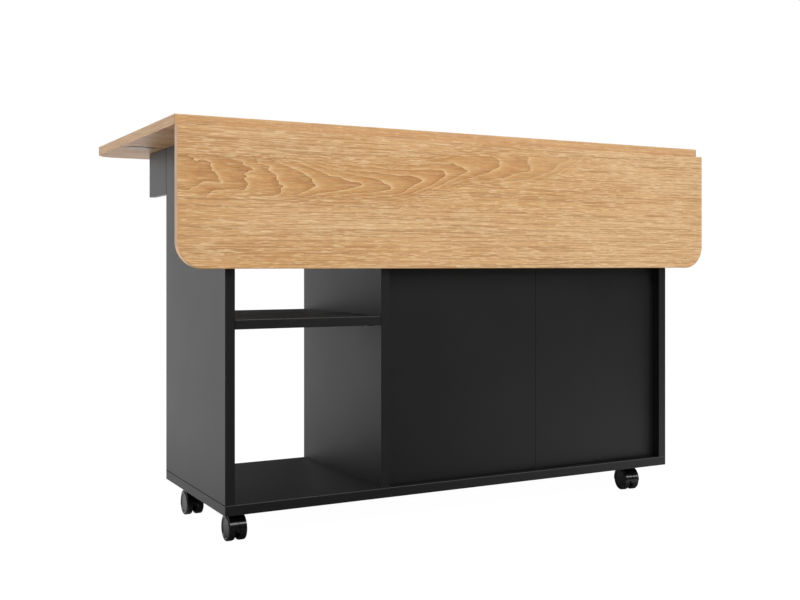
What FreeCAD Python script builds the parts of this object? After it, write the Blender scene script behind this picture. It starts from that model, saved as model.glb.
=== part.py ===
import FreeCAD, Part
import os
import re

import Sketcher

# Rolling kitchen cart with two drop leaves, an open bay and a closed bay with two doors
#
# Frame: X runs along the worktop, Y from the hanging leaf to the raised leaf, Z up from the floor.
# The origin is on the floor, under the middle of the whole cart.

# Driving sizes in millimetres
SIZES = {
    "cabinet_width": 1230,
    "cabinet_depth": 450,
    "upright_height": 806,
    "board_thickness": 22,
    "base_thickness": 22,
    "caster_height": 64,
    # worktop and leaves
    "top_thickness": 22,
    "top_far_overhang": 20,
    "top_overhang": 110,
    "near_leaf_width": 300,
    "far_leaf_width": 288.5,
    "leaf_gap": 1.5,
    "leaf_corner_radius": 57,
    "edge_radius": 2,
    # inside the cabinet
    "open_bay_width": 351,
    "left_closed_width": 416,
    "shelf_thickness": 21,
    "shelf_height": 461,
    "shelf_side_gap": 0.5,
    "shelf_back_gap": 4,
    "back_panel_thickness": 3,
    "back_panel_recess": 24,
    "groove_depth": 6,
    "groove_gap": 0.2,
    "rail_thickness": 22,
    "rail_width": 80,
    "fascia_height": 116,
    "pin_radius": 2.5,
    "pin_depth": 8,
    "pin_reach": 9,
    "pin_inset": 60,
    "pin_gap": 0.1,
    # doors
    "door_thickness": 18,
    "door_gap": 2,
    "handle_radius": 6,
    "handle_length": 160,
    "handle_post_radius": 4,
    "handle_post_spacing": 128,
    "handle_stand_off": 22,
    "handle_edge_inset": 38,
    "handle_top_inset": 200,
    # swing-out support arms
    "arm_thickness": 16,
    "arm_reach": 157,
    "arm_height": 115,
    "arm_top_gap": 0.3,
    "near_arm_recess": 6,
    # hinges
    "hinge_bore": 1.4,
    "hinge_running_gap": 0.05,
    "hinge_barrel": 2.8,
    "hinge_clearance": 0.3,
    "leaf_hinge_length": 65,
    "leaf_hinge_plate": 14,
    "leaf_hinge_sheet": 1.6,
    "end_hinge_inset": 53,
    "mid_hinge_offset": 180,
    "side_hinge_length": 50,
    "side_hinge_plate": 16,
    "side_hinge_sheet": 1,
    "side_hinge_gap": 2.4,
    "side_hinge_reach": 3,
    "arm_hinge_inset": 31,
    "door_hinge_inset": 80,
    "hinge_screw_hole": 1.8,
    "leaf_hinge_hole_offset": 21.5,
    "side_hinge_hole_offset": 16.5,
    # casters
    "wheel_radius": 27.5,
    "wheel_width": 17,
    "wheel_rim": 5,
    "wheel_disc": 2.5,
    "wheel_dish": 1.5,
    "wheel_round": 2.5,
    "wheel_bevel": 0.8,
    "wheel_inner_round": 4,
    "wheel_inner_bevel": 1.2,
    "hub_radius": 6,
    "web_thickness": 7,
    "web_gap": 0.5,
    "axle_radius": 3,
    "axle_gap": 0.05,
    "axle_depth": 11,
    "hood_gap": 1.2,
    "hood_thickness": 2,
    "hood_inset": 2,
    "hood_groove_width": 2.4,
    "hood_groove_depth": 0.9,
    "hood_boss_radius": 9,
    "boss_gap": 0.6,
    "caster_trail": 20,
    "kingpin_radius": 4,
    "kingpin_gap": 0.05,
    "kingpin_length": 10,
    "kingpin_end_gap": 0.6,
    "plate_thickness": 2.5,
    "plate_length": 42,
    "plate_width": 38,
    "plate_corner": 5,
    "near_left_caster_inset": 36,
    "far_left_caster_inset": 28,
    "right_caster_inset": 93,
    "near_caster_inset": 65,
    "far_caster_inset": 105,
    # screws
    "caster_screw_radius": 1.75,
    "caster_screw_head": 3.6,
    "caster_screw_head_height": 1.6,
    "caster_screw_length": 14,
    "caster_screw_inset": 6.5,
    "panel_screw_radius": 2.5,
    "panel_screw_head": 5,
    "panel_screw_head_height": 3,
    "panel_screw_length": 50,
    "panel_screw_near": 120,
    "panel_screw_far": 50,
    "top_screw_radius": 2,
    "top_screw_head": 4,
    "top_screw_head_height": 2.5,
    "top_screw_length": 34,
    "top_screw_inset": 60,
    "screw_gap": 0.1,
}

# Lengths worked out from the driving sizes, in the sheet's own words
RULES = {
    "left_face": "-cabinet_width / 2",
    "right_face": "cabinet_width / 2",
    "left_inside": "left_face + board_thickness",
    "right_inside": "right_face - board_thickness",
    "whole_depth": "top_thickness + leaf_gap / 2 + top_depth + leaf_gap + far_leaf_width",
    "near_face": "top_thickness + leaf_gap / 2 - whole_depth / 2",
    "far_face": "near_face + cabinet_depth",
    "top_depth": "cabinet_depth + top_far_overhang",
    "floor_of_bay": "caster_height + base_thickness",
    "top_under": "floor_of_bay + upright_height",
    "near_pin": "near_face - leaf_gap / 2",
    "far_pin": "near_face + top_depth + leaf_gap / 2",
    "top_left": "left_face - top_overhang",
    "top_length": "cabinet_width + 2 * top_overhang",
    "partition_left": "left_inside + open_bay_width",
    "partition_right": "partition_left + board_thickness",
    "divider_left": "partition_right + left_closed_width",
    "divider_right": "divider_left + board_thickness",
    "divider_middle": "divider_left + board_thickness / 2",
    "closed_width": "right_inside - partition_right",
    "right_closed_width": "right_inside - divider_right",
    "back_near": "near_face + back_panel_recess",
    "back_far": "back_near + back_panel_thickness",
    "rail_under": "top_under - rail_thickness",
    "fascia_under": "top_under - fascia_height",
    "door_height": "upright_height - fascia_height - 2 * door_gap",
    "door_near": "far_face - door_thickness",
    "door_side_gap": "side_hinge_gap",
    "hinge_pin_radius": "hinge_bore - hinge_running_gap",
    "barrel_room": "hinge_barrel + hinge_clearance",
    "arm_under": "top_under - arm_top_gap - arm_height",
    "far_arm_near": "far_face + side_hinge_gap",
    "far_arm_pin_y": "far_face + side_hinge_gap / 2",
    "far_arm_pin_inset": "arm_thickness + side_hinge_reach",
    "near_arm_pin_y": "near_face + near_arm_recess - side_hinge_reach",
    "near_arm_pin_inset": "board_thickness + side_hinge_gap / 2",
    "near_arm_inset": "board_thickness + side_hinge_gap",
    "arm_hinge_low": "arm_under + arm_hinge_inset",
    "arm_hinge_high": "arm_under + arm_height - arm_hinge_inset",
    "door_pin_y": "far_face + side_hinge_reach",
    "door_under": "floor_of_bay + door_gap",
    "door_top": "door_under + door_height",
    "door_hinge_low": "door_under + door_hinge_inset",
    "door_hinge_high": "door_top - door_hinge_inset",
    "wheel_middle": "web_thickness / 2 + web_gap",
    "hood_inside": "wheel_radius + hood_gap",
    "hood_outside": "hood_inside + hood_thickness",
    "hood_width": "2 * (wheel_middle + wheel_width - hood_inset)",
    "plate_under": "caster_height - plate_thickness",
    "boss_top": "plate_under - boss_gap",
    "axle_reach": "wheel_middle + axle_depth",
    "near_left_caster_x": "left_face + near_left_caster_inset",
    "far_left_caster_x": "left_face + far_left_caster_inset",
    "right_caster_x": "right_face - right_caster_inset",
    "near_caster_y": "near_face + near_caster_inset",
    "far_caster_y": "far_face - far_caster_inset",
    "left_panel_screw_x": "left_face + board_thickness / 2",
    "right_panel_screw_x": "right_face - board_thickness / 2",
    "partition_screw_x": "partition_left + board_thickness / 2",
    "panel_screw_near_y": "near_face + panel_screw_near",
    "panel_screw_far_y": "far_face - panel_screw_far",
}

# Degrees about the vertical by which each caster has swivelled where the cart stands
CASTER_TURNS = {"near_left": 0, "far_left": 0, "near_right": -7, "far_right": 12}
KNUCKLES = 5
# The hood's cover, in degrees about the axle from its lower edge behind the kingpin
HOOD_START = -8
HOOD_COVER = 188

NAME = re.compile(r"[a-z_][a-z0-9_]*")

doc = FreeCAD.newDocument("kitchen_cart")
sheet = doc.addObject("Spreadsheet::Sheet", "Sizes")
for row, (alias, value) in enumerate(SIZES.items(), start=1):
    sheet.set(f"A{row}", alias)
    sheet.set(f"B{row}", str(value))
    sheet.setAlias(f"B{row}", alias)
doc.recompute()

nodes = []


def rule(text):
    """Puts a rule in plain names into the sheet's terms, for an expression."""

    def word(found):
        name = found.group(0)
        if name in RULES:
            return "(" + rule(RULES[name]) + ")"
        return "Sizes." + name

    return NAME.sub(word, text)


def amount(text):
    """The present value of a rule."""

    def word(found):
        name = found.group(0)
        if name in RULES:
            return "(" + str(amount(RULES[name])) + ")"
        return "(" + str(sheet.get(name)) + ")"

    return FreeCAD.Units.Quantity(NAME.sub(word, text)).Value


def place(thing, at):
    """Ties the three coordinates of a placement to rules."""
    for axis, text in zip("xyz", at):
        thing.setExpression(f"Placement.Base.{axis}", rule(text))
    return thing


def node(thing, label):
    """Marks an object as one of the cart's pieces, under its own name."""
    thing.Label = label
    nodes.append(thing)
    return thing


# Simple solids and the ways to join them
X_AXIS = FreeCAD.Vector(1, 0, 0)
Y_AXIS = FreeCAD.Vector(0, 1, 0)
Z_AXIS = FreeCAD.Vector(0, 0, 1)
ALONG = {
    "x": FreeCAD.Rotation(Y_AXIS, 90),
    "y": FreeCAD.Rotation(X_AXIS, -90),
    "z": FreeCAD.Rotation(),
}


def block(name, size, at):
    box = doc.addObject("Part::Box", name)
    for side, text in zip(("Length", "Width", "Height"), size):
        box.setExpression(side, rule(text))
    return place(box, at)


def rod(name, radius, length, at, along="z"):
    """A round bar that starts at a point and runs along one axis."""
    bar = doc.addObject("Part::Cylinder", name)
    bar.Placement = FreeCAD.Placement(FreeCAD.Vector(), ALONG[along])
    bar.setExpression("Radius", rule(radius))
    bar.setExpression("Height", rule(length))
    return place(bar, at)


def group(name, things):
    gathered = doc.addObject("Part::Compound", name)
    gathered.Links = things
    return gathered


def fuse(name, things):
    joined = doc.addObject("Part::MultiFuse", name)
    joined.Shapes = things
    return joined


def common(name, things):
    shared = doc.addObject("Part::MultiCommon", name)
    shared.Shapes = things
    return shared


def cut(name, base, tools):
    remaining = doc.addObject("Part::Cut", name)
    remaining.Base = base
    remaining.Tool = tools[0] if len(tools) == 1 else group(name + "_tools", tools)
    return remaining


def copy(name, unit, at, turn=FreeCAD.Rotation()):
    """Places a repeated piece, turned about its own origin."""
    link = doc.addObject("App::Link", name)
    link.LinkedObject = unit
    link.Placement = FreeCAD.Placement(FreeCAD.Vector(), turn)
    return place(link, at)


def outline(body, plane, corners):
    """A closed outline whose corners are tied to rules, on one of the body's own planes."""
    sketch = body.newObject("Sketcher::SketchObject", body.Name + "_outline")
    for feature in body.Origin.OriginFeatures:
        if feature.Role == plane:
            sketch.AttachmentSupport = [(feature, "")]
    sketch.MapMode = "FlatFace"
    points = [FreeCAD.Vector(amount(x), amount(y), 0) for x, y in corners]
    for start, end in zip(points, points[1:] + points[:1]):
        sketch.addGeometry(Part.LineSegment(start, end), False)
    for i in range(len(points)):
        following = (i + 1) % len(points)
        sketch.addConstraint(Sketcher.Constraint("Coincident", i, 2, following, 1))
    for i, (point, corner) in enumerate(zip(points, corners)):
        for kind, text, value, axis in (
            ("DistanceX", corner[0], point.x, -2),
            ("DistanceY", corner[1], point.y, -1),
        ):
            if text == "0":
                sketch.addConstraint(Sketcher.Constraint("PointOnObject", i, 1, axis))
            else:
                index = sketch.addConstraint(Sketcher.Constraint(kind, -1, 1, i, 1, value))
                sketch.setExpression(f"Constraints[{index}]", rule(text))
    return sketch


def padded_body(name, corners, height):
    """A board with a drawn outline, raised to a height."""
    body = doc.addObject("PartDesign::Body", name)
    pad = body.newObject("PartDesign::Pad", name + "_pad")
    pad.Profile = outline(body, "XY_Plane", corners)
    pad.setExpression("Length", rule(height))
    doc.recompute()
    return body, pad


def rounded(body, name, base, radius, wanted):
    """Rounds the edges of a feature that a test picks out."""
    edges = [f"Edge{i}" for i, edge in enumerate(base.Shape.Edges, start=1) if wanted(edge)]
    fillet = body.newObject("PartDesign::Fillet", name)
    fillet.Base = (base, edges)
    fillet.setExpression("Radius", rule(radius))
    doc.recompute()
    return fillet


def worktop_board(name, width, at, rounded_corners, turn=FreeCAD.Rotation()):
    """A wooden board of the worktop: a corner in each far end if asked, and eased edges."""
    corners = [("0", "0"), ("top_length", "0"), ("top_length", width), ("0", width)]
    body, shape = padded_body(name, corners, "top_thickness")
    deep = amount(width)
    if rounded_corners:
        shape = rounded(
            body,
            name + "_corners",
            shape,
            "leaf_corner_radius",
            lambda edge: edge.BoundBox.XLength + edge.BoundBox.YLength < amount("edge_radius") / 2
            and edge.BoundBox.YMin > deep / 2,
        )
    rounded(
        body,
        name + "_edges",
        shape,
        "edge_radius",
        lambda edge: edge.BoundBox.ZLength < amount("edge_radius") / 2
        and (rounded_corners is False or edge.BoundBox.YMax > amount("edge_radius")),
    )
    body.Placement = FreeCAD.Placement(FreeCAD.Vector(), turn)
    return place(body, at)


# Cabinet: base, uprights, rails and shelves
def drill_panel_holes(name, x, at_height):
    """Two screw holes that run up from the underside of the base."""
    size = ("panel_screw_radius + screw_gap", "panel_screw_length + screw_gap")
    return [
        rod(f"{name}_{end}", *size, (x, y, at_height))
        for end, y in (("near", "panel_screw_near_y"), ("far", "panel_screw_far_y"))
    ]


PANEL_SCREW_PLACES = {
    "left_panel": "left_panel_screw_x",
    "partition": "partition_screw_x",
    "divider": "divider_middle",
    "right_panel": "right_panel_screw_x",
}
CASTER_PLACES = {
    "near_left": ("near_left_caster_x", "near_caster_y"),
    "far_left": ("far_left_caster_x", "far_caster_y"),
    "near_right": ("right_caster_x", "near_caster_y"),
    "far_right": ("right_caster_x", "far_caster_y"),
}
SCREW_SIDES = {"a": (1, 1), "b": (1, -1), "c": (-1, 1), "d": (-1, -1)}


def caster_screw_places():
    for corner, (x, y) in CASTER_PLACES.items():
        for side, (along, across) in SCREW_SIDES.items():
            yield (
                f"{corner}_{side}",
                f"{x} + {along} * (plate_length / 2 - caster_screw_inset)",
                f"{y} + {across} * (plate_width / 2 - caster_screw_inset)",
            )


def make_base():
    board = block(
        "base_blank",
        ("cabinet_width", "cabinet_depth", "base_thickness"),
        ("left_face", "near_face", "caster_height"),
    )
    holes = []
    for name, x in PANEL_SCREW_PLACES.items():
        holes += drill_panel_holes(f"base_hole_{name}", x, "caster_height")
        for end, y in (("near", "panel_screw_near_y"), ("far", "panel_screw_far_y")):
            size = ("panel_screw_head + screw_gap", "panel_screw_head_height")
            holes.append(rod(f"base_sink_{name}_{end}", *size, (x, y, "caster_height")))
    sinks = fuse("base_screw_holes", holes)
    small = [
        rod(
            f"base_caster_hole_{name}",
            "caster_screw_radius + screw_gap",
            "caster_screw_length - plate_thickness + screw_gap",
            (x, y, "caster_height"),
        )
        for name, x, y in caster_screw_places()
    ]
    node(cut("base_board", board, [sinks] + small), "base_board")


def hinge_notches(name, size, at_x, at_y):
    """Room in an upright for the barrels of a support arm's two hinges."""
    notches = []
    for level in ("low", "high"):
        at = (at_x, at_y, f"arm_hinge_{level} - side_hinge_length / 2 - hinge_clearance")
        height = "side_hinge_length + 2 * hinge_clearance"
        notches.append(block(f"{name}_{level}", (*size, height), at))
    return notches


def shelf_pin_holes(name, faces):
    """Blind holes for shelf pins, each from a face of an upright into its thickness."""
    holes = []
    for side, x in faces.items():
        for end, y in SHELF_PIN_ROWS[side].items():
            at = (x, y, "shelf_height - pin_radius")
            holes.append(rod(f"{name}_{side}_{end}", "pin_radius + pin_gap", "pin_depth + pin_gap", at, "x"))
    return holes


OPEN_ROWS = {"near": "near_face + pin_inset", "far": "far_face - pin_inset"}
CLOSED_ROWS = {"near": "back_far + pin_inset", "far": "door_near - pin_inset"}
# Each side of an upright that carries a shelf
SHELF_PIN_ROWS = {
    "left_end": OPEN_ROWS,
    "partition_open": OPEN_ROWS,
    "partition_closed": CLOSED_ROWS,
    "divider_left": CLOSED_ROWS,
    "divider_right": CLOSED_ROWS,
    "right_end": CLOSED_ROWS,
}
# Where the blind hole of each side starts, and where its pin starts
PIN_STARTS = {
    "left_end": ("left_inside - pin_depth - pin_gap", "left_inside - pin_depth"),
    "partition_open": ("partition_left", "partition_left - pin_reach"),
    "partition_closed": ("partition_right - pin_depth - pin_gap", "partition_right - pin_depth"),
    "divider_left": ("divider_left", "divider_left - pin_reach"),
    "divider_right": ("divider_right - pin_depth - pin_gap", "divider_right - pin_depth"),
    "right_end": ("right_inside", "right_inside - pin_reach"),
}


def upright(label, x, near, depth, cuts):
    board = block(label + "_blank", ("board_thickness", depth, "upright_height"), (x, near, "floor_of_bay"))
    node(cut(label, board, cuts), label)


def screw_holes_in_upright(label, x):
    return drill_panel_holes(label + "_screw_hole", x, "caster_height")


def make_uprights():
    faces = {side: PIN_STARTS[side][0] for side in PIN_STARTS}
    near_size = (
        "hinge_barrel - side_hinge_gap / 2 + hinge_clearance",
        "near_arm_pin_y + barrel_room - near_face",
    )
    far_size = (
        "board_thickness - far_arm_pin_inset + barrel_room",
        "barrel_room - side_hinge_gap / 2",
    )
    upright(
        "left_end_panel",
        "left_face",
        "near_face",
        "cabinet_depth",
        screw_holes_in_upright("left_end", "left_panel_screw_x")
        + hinge_notches("left_near_notch", near_size, f"left_inside - ({near_size[0]})", "near_face")
        + hinge_notches(
            "left_far_notch",
            far_size,
            "left_face + far_arm_pin_inset - barrel_room",
            f"far_face - ({far_size[1]})",
        )
        + shelf_pin_holes("left_end_pin_hole", {"left_end": faces["left_end"]}),
    )
    groove = "back_panel_thickness + 2 * groove_gap"
    upright(
        "right_end_panel",
        "right_inside",
        "near_face",
        "cabinet_depth",
        screw_holes_in_upright("right_end", "right_panel_screw_x")
        + hinge_notches("right_near_notch", near_size, "right_inside", "near_face")
        + hinge_notches("right_far_notch", far_size, "right_inside", f"far_face - ({far_size[1]})")
        + shelf_pin_holes("right_end_pin_hole", {"right_end": faces["right_end"]})
        + [
            block(
                "right_end_groove",
                ("groove_depth", groove, "upright_height"),
                ("right_inside", "back_near - groove_gap", "floor_of_bay"),
            )
        ],
    )
    sides = {side: faces[side] for side in ("partition_open", "partition_closed")}
    upright(
        "partition",
        "partition_left",
        "near_face",
        "cabinet_depth",
        screw_holes_in_upright("partition", "partition_screw_x")
        + shelf_pin_holes("partition_pin_hole", sides)
        + [
            block(
                "partition_groove",
                ("groove_depth", groove, "upright_height"),
                ("partition_right - groove_depth", "back_near - groove_gap", "floor_of_bay"),
            )
        ],
    )
    sides = {side: faces[side] for side in ("divider_left", "divider_right")}
    upright(
        "centre_divider",
        "divider_left",
        "back_far",
        "far_face - back_far",
        screw_holes_in_upright("divider", "divider_middle")
        + shelf_pin_holes("divider_pin_hole", sides)
        + [
            block(
                "divider_near_notch",
                ("board_thickness", "rail_width", "rail_thickness"),
                ("divider_left", "back_far", "rail_under"),
            ),
            block(
                "divider_far_notch",
                ("board_thickness", "rail_width", "rail_thickness"),
                ("divider_left", "far_face - board_thickness - rail_width", "rail_under"),
            ),
            block(
                "divider_fascia_notch",
                ("board_thickness", "board_thickness", "fascia_height"),
                ("divider_left", "far_face - board_thickness", "fascia_under"),
            ),
        ],
    )


def top_screw_places():
    """The screws that hold the worktop from below: name, x and y."""
    closed = (
        "partition_right + top_screw_inset",
        "divider_middle + top_screw_inset",
        "right_inside - top_screw_inset",
    )
    rows = {"near": "back_far + rail_width / 2", "far": "far_face - board_thickness - rail_width / 2"}
    for row, y in rows.items():
        for i, x in enumerate(closed):
            yield row, f"{row}_{i}", x, y
    middle = "near_face + cabinet_depth / 2"
    for i, x in enumerate(("left_inside + top_screw_inset", "partition_left - top_screw_inset")):
        yield "open", f"open_{i}", x, middle


def make_rails():
    rails = {
        "near": ("near_top_rail", "partition_right", "closed_width", "back_far"),
        "far": (
            "far_top_rail",
            "partition_right",
            "closed_width",
            "far_face - board_thickness - rail_width",
        ),
        "open": (
            "open_bay_top_rail",
            "left_inside",
            "open_bay_width",
            "near_face + (cabinet_depth - rail_width) / 2",
        ),
    }
    for row, (label, x, length, y) in rails.items():
        blank = block(label + "_blank", (length, "rail_width", "rail_thickness"), (x, y, "rail_under"))
        hole = ("top_screw_radius + screw_gap", "rail_thickness")
        holes = [
            rod(f"{label}_hole_{name}", *hole, (screw_x, screw_y, "rail_under"))
            for kind, name, screw_x, screw_y in top_screw_places()
            if kind == row
        ]
        node(cut(label, blank, holes), label)
    fascia = block(
        "far_fascia",
        ("closed_width", "board_thickness", "fascia_height"),
        ("partition_right", "far_face - board_thickness", "fascia_under"),
    )
    node(fascia, "far_fascia")


def make_back_panels():
    left = block(
        "left_back_panel",
        (
            "divider_middle - partition_right + groove_depth - groove_gap",
            "back_panel_thickness",
            "upright_height",
        ),
        ("partition_right - groove_depth + groove_gap", "back_near", "floor_of_bay"),
    )
    right = block(
        "right_back_panel",
        (
            "right_inside - divider_middle + groove_depth - 2 * groove_gap",
            "back_panel_thickness",
            "upright_height",
        ),
        ("divider_middle + groove_gap", "back_near", "floor_of_bay"),
    )
    node(left, "left_back_panel")
    node(right, "right_back_panel")


def make_shelves():
    closed_near = "back_far + shelf_back_gap"
    closed_depth = "door_near - back_far - 2 * shelf_back_gap"
    shelves = {
        "open_bay_shelf": ("left_inside", "open_bay_width", "near_face", "cabinet_depth"),
        "left_closed_shelf": ("partition_right", "left_closed_width", closed_near, closed_depth),
        "right_closed_shelf": ("divider_right", "right_closed_width", closed_near, closed_depth),
    }
    for label, (x, width, y, depth) in shelves.items():
        size = (f"{width} - 2 * shelf_side_gap", depth, "shelf_thickness")
        node(block(label, size, (f"{x} + shelf_side_gap", y, "shelf_height")), label)
    pins = []
    for side, (hole, start) in PIN_STARTS.items():
        for end, y in SHELF_PIN_ROWS[side].items():
            at = (start, y, "shelf_height - pin_radius")
            pins.append(rod(f"shelf_pin_{side}_{end}", "pin_radius", "pin_depth + pin_reach", at, "x"))
    node(group("shelf_pins", pins), "shelf_pins")


def make_panel_screws():
    screws = []
    for name, x in PANEL_SCREW_PLACES.items():
        for end, y in (("near", "panel_screw_near_y"), ("far", "panel_screw_far_y")):
            shank = rod(
                f"{name}_screw_shank_{end}",
                "panel_screw_radius",
                "panel_screw_length",
                (x, y, "caster_height"),
            )
            head = rod(
                f"{name}_screw_head_{end}",
                "panel_screw_head",
                "panel_screw_head_height - screw_gap",
                (x, y, "caster_height"),
            )
            screws.append(fuse(f"{name}_screw_{end}", [shank, head]))
    node(group("panel_screws", screws), "panel_screws")


def make_top_screws():
    screws = []
    for row, name, x, y in top_screw_places():
        shank = rod(f"top_screw_shank_{name}", "top_screw_radius", "top_screw_length", (x, y, "rail_under"))
        head = rod(
            f"top_screw_head_{name}",
            "top_screw_head",
            "top_screw_head_height",
            (x, y, "rail_under - top_screw_head_height"),
        )
        screws.append(fuse(f"top_screw_{name}", [shank, head]))
    node(group("top_screws", screws), "top_screws")


# Worktop and leaves
LEAF_HINGE_PLACES = {
    "left": "top_left + end_hinge_inset",
    "mid_left": "-mid_hinge_offset",
    "mid_right": "mid_hinge_offset",
    "right": "-(top_left + end_hinge_inset)",
}


def barrel_room(name, pin_y, pin_z):
    """Round recesses in the edge of a board for the barrels of its hinges."""
    return [
        rod(
            f"{name}_{side}",
            "barrel_room",
            "leaf_hinge_length + 2 * hinge_clearance",
            (f"{x} - leaf_hinge_length / 2 - hinge_clearance", pin_y, pin_z),
            "x",
        )
        for side, x in LEAF_HINGE_PLACES.items()
    ]


def make_main_top():
    board = worktop_board("main_top_board", "top_depth", ("top_left", "near_face", "top_under"), False)
    holes = [
        rod(
            f"main_top_hole_{name}",
            "top_screw_radius + screw_gap",
            "top_screw_length - rail_thickness + screw_gap",
            (x, y, "top_under"),
        )
        for row, name, x, y in top_screw_places()
    ]
    recesses = barrel_room("near_recess", "near_pin", "top_under")
    recesses += barrel_room("far_recess", "far_pin", "top_under")
    node(cut("main_top", board, recesses + holes), "main_top")


def make_leaves():
    raised = ("top_left", "far_pin + leaf_gap / 2", "top_under")
    far = worktop_board("far_leaf_board", "far_leaf_width", raised, True)
    node(cut("far_leaf", far, barrel_room("far_leaf_recess", "far_pin", "top_under")), "far_leaf")
    # the near leaf hangs: its board is turned about the joint line, underside inwards
    hanging = ("top_left", "near_pin - top_thickness", "top_under - leaf_gap / 2")
    turn = FreeCAD.Rotation(X_AXIS, -90)
    near = worktop_board("near_leaf_board", "near_leaf_width", hanging, True, turn)
    node(cut("near_leaf", near, barrel_room("near_leaf_recess", "near_pin", "top_under")), "near_leaf")


# Hinges: each half is a plate with knuckles about a pin along its own X axis
def hinge_half(name, length, plate, sheet_metal, face, hole_offset, turning):
    """One half of a butt hinge. Its plate runs along +Y and lies against a face at +Z."""
    barrel = rod(name + "_barrel", "hinge_barrel", length, (f"-{length} / 2", "0", "0"), "x")
    flap_at = (f"-{length} / 2", "0", f"{face} - {sheet_metal}")
    flap = block(name + "_flap", (length, plate, sheet_metal), flap_at)
    whole = fuse(name + "_whole", [barrel, flap])
    tools = [rod(name + "_bore", "hinge_bore", length, (f"-{length} / 2", "0", "0"), "x")]
    for i in range(KNUCKLES):
        if (i % 2 == 0) == turning:
            start = f"-{length} / 2 + {i} * {length} / {KNUCKLES} - hinge_clearance / 2"
            size = (f"{length} / {KNUCKLES} + hinge_clearance", "2 * barrel_room", "2 * barrel_room")
            tools.append(block(f"{name}_slot_{i}", size, (start, "-barrel_room", "-barrel_room")))
    slots = fuse(name + "_slots", tools)
    holes = []
    for i, share in enumerate((-1, 1)):
        at = (
            f"{share} * {hole_offset}",
            f"(barrel_room + {plate}) / 2",
            f"{face} - {sheet_metal}",
        )
        holes.append(rod(f"{name}_screw_hole_{i}", "hinge_screw_hole", sheet_metal, at))
    return cut(name, whole, [slots] + holes)


# Length, plate width, sheet, distance from pin to mounting face, distance from middle to screw hole
LEAF_HINGE = (
    "leaf_hinge_length",
    "leaf_hinge_plate",
    "leaf_hinge_sheet",
    "0",
    "leaf_hinge_hole_offset",
)
SIDE_HINGE = (
    "side_hinge_length",
    "side_hinge_plate",
    "side_hinge_sheet",
    "side_hinge_gap / 2",
    "side_hinge_hole_offset",
)


def facing(pin, plate, face):
    """The turn that lays a hinge half's pin, plate and mounting face along three directions."""
    return FreeCAD.Rotation(pin, plate, face, "XYZ")


def make_leaf_hinges():
    fixed = hinge_half("leaf_hinge_fixed", *LEAF_HINGE, False)
    turning = hinge_half("leaf_hinge_turning", *LEAF_HINGE, True)
    under = {
        "near_top": (fixed, "near_pin", facing(X_AXIS, Y_AXIS, Z_AXIS)),
        "far_top": (fixed, "far_pin", facing(-X_AXIS, -Y_AXIS, Z_AXIS)),
        "far_leaf": (turning, "far_pin", facing(X_AXIS, Y_AXIS, Z_AXIS)),
        # the near leaf hangs, so its plates hang too, with their mounting faces outwards
        "near_leaf": (turning, "near_pin", facing(-X_AXIS, -Z_AXIS, -Y_AXIS)),
    }
    for board, (unit, pin_y, turn) in under.items():
        label = board + "_hinge_plates"
        copies = [
            copy(f"{label}_{side}", unit, (x, pin_y, "top_under"), turn)
            for side, x in LEAF_HINGE_PLACES.items()
        ]
        node(group(label, copies), label)
    pins = []
    for edge in ("near", "far"):
        for side, x in LEAF_HINGE_PLACES.items():
            at = (f"{x} - leaf_hinge_length / 2", f"{edge}_pin", "top_under")
            name = f"leaf_hinge_pin_{edge}_{side}"
            pins.append(rod(name, "hinge_pin_radius", "leaf_hinge_length", at, "x"))
    node(group("leaf_hinge_pins", pins), "leaf_hinge_pins")


# Support arms and doors, both on side hinges with upright pins
def arm_sides():
    """Each side of the cart: its name, its face, and the direction from it to the middle."""
    return (("left", "left_face", 1), ("right", "right_face", -1))


def arm_hinge_places():
    """Every support arm's hinge pin: arm, x, y, plate direction, and the upright's face direction."""
    for side, face, inward in arm_sides():
        outward = X_AXIS * -inward
        near_x = f"{face} + {inward} * near_arm_pin_inset"
        far_x = f"{face} + {inward} * far_arm_pin_inset"
        yield f"near_{side}_arm", near_x, "near_arm_pin_y", Y_AXIS, outward
        yield f"far_{side}_arm", far_x, "far_arm_pin_y", outward, -Y_AXIS


def door_hinge_places():
    yield "left_door", "partition_right + side_hinge_gap / 2", -1
    yield "right_door", "right_inside - side_hinge_gap / 2", 1


def side_hinge_copies(unit, name, x, y, plate, face, levels):
    """The same half at two heights, its pin upright."""
    return [
        copy(f"{name}_{level}", unit, (x, y, height), facing(plate.cross(face), plate, face))
        for level, height in levels.items()
    ]


ARM_LEVELS = {"low": "arm_hinge_low", "high": "arm_hinge_high"}
DOOR_LEVELS = {"low": "door_hinge_low", "high": "door_hinge_high"}


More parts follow.
